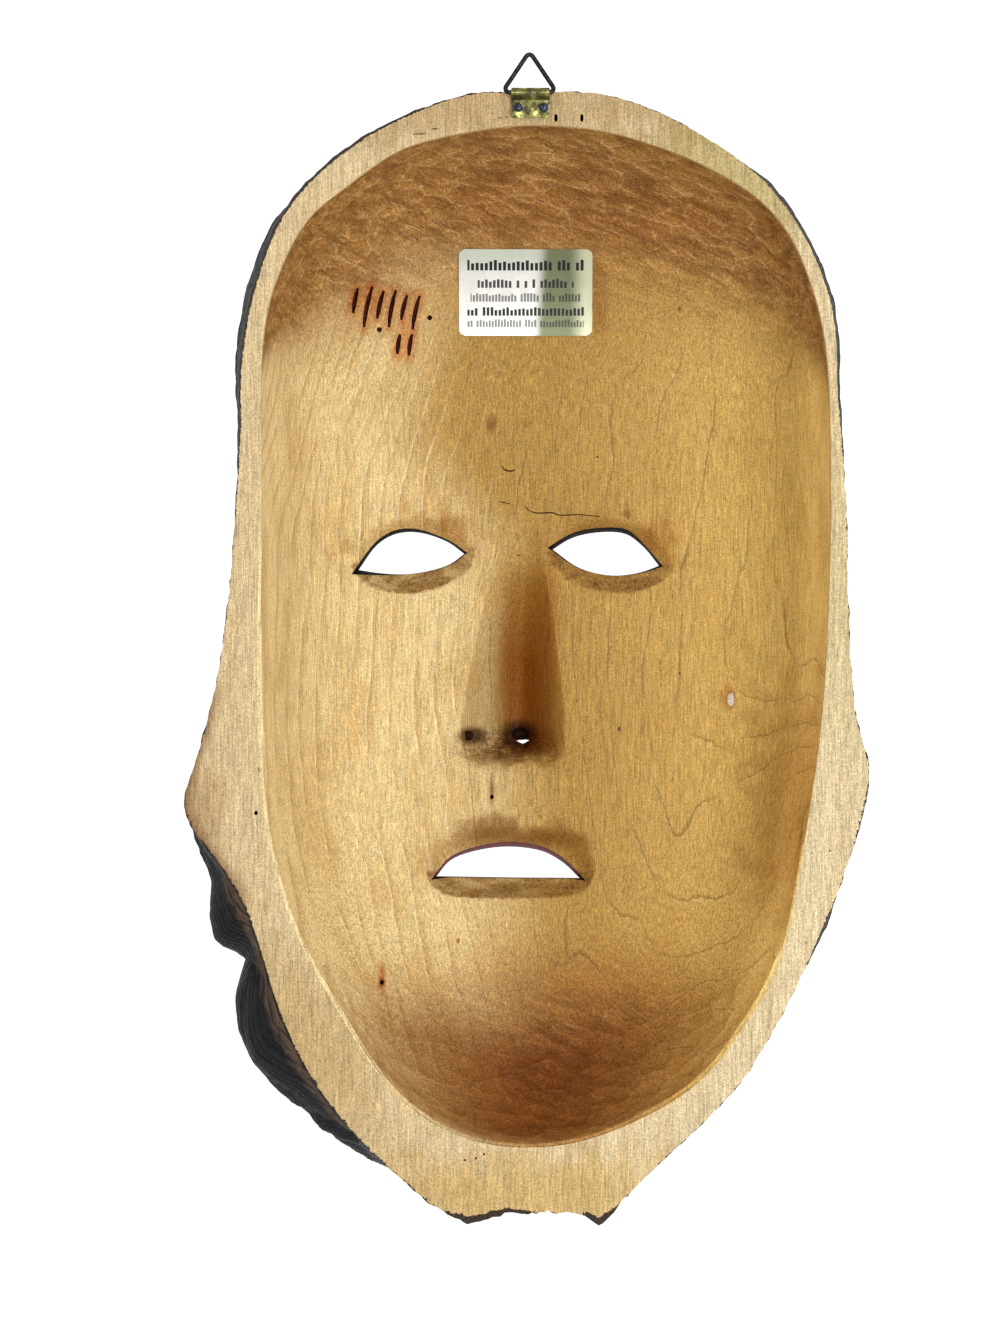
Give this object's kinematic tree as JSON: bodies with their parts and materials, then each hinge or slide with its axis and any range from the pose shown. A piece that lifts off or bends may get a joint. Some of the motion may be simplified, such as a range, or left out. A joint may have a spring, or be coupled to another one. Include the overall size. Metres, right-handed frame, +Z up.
{
  "type": "carved carnival mask",
  "caption": "Hand-carved wooden carnival mask lying on its face: deep hollow with eye, nose and mouth openings, and a wire hanging ring at the crown.",
  "frame": {"origin": "on the table under the middle of the lying mask's bounding box", "axes": "+Z up out of the hollow, +Y towards the crown and its hanging ring, +X to the right seen from behind"},
  "size_m": [0.22, 0.3753, 0.1073],
  "materials": {
    "carved_wood": "bare oiled wood behind, stained and painted on the carved front",
    "gold_foil": "thin metallised foil sticker, satin gold",
    "strap_brass": "tarnished, green in the hollows",
    "ring_steel": "blackened wire with worn glints",
    "nail_steel": "blued steel, slightly rusty"
  },
  "bodies": {
    "mask": {"mask": "carved_wood", "foil_label": "gold_foil", "hanger_strap": "strap_brass", "nail_left": "nail_steel", "nail_right": "nail_steel"},
    "ring": {"hanger_ring": "ring_steel"}
  },
  "joints": [
    {"name": "ring_hinge", "type": "hinge", "parent": "mask", "child": "ring", "pos_m": [0.00062, 0.1749, 0.1058], "axis": [1, 0, 0], "range_deg": [-45, 150]}
  ]
}
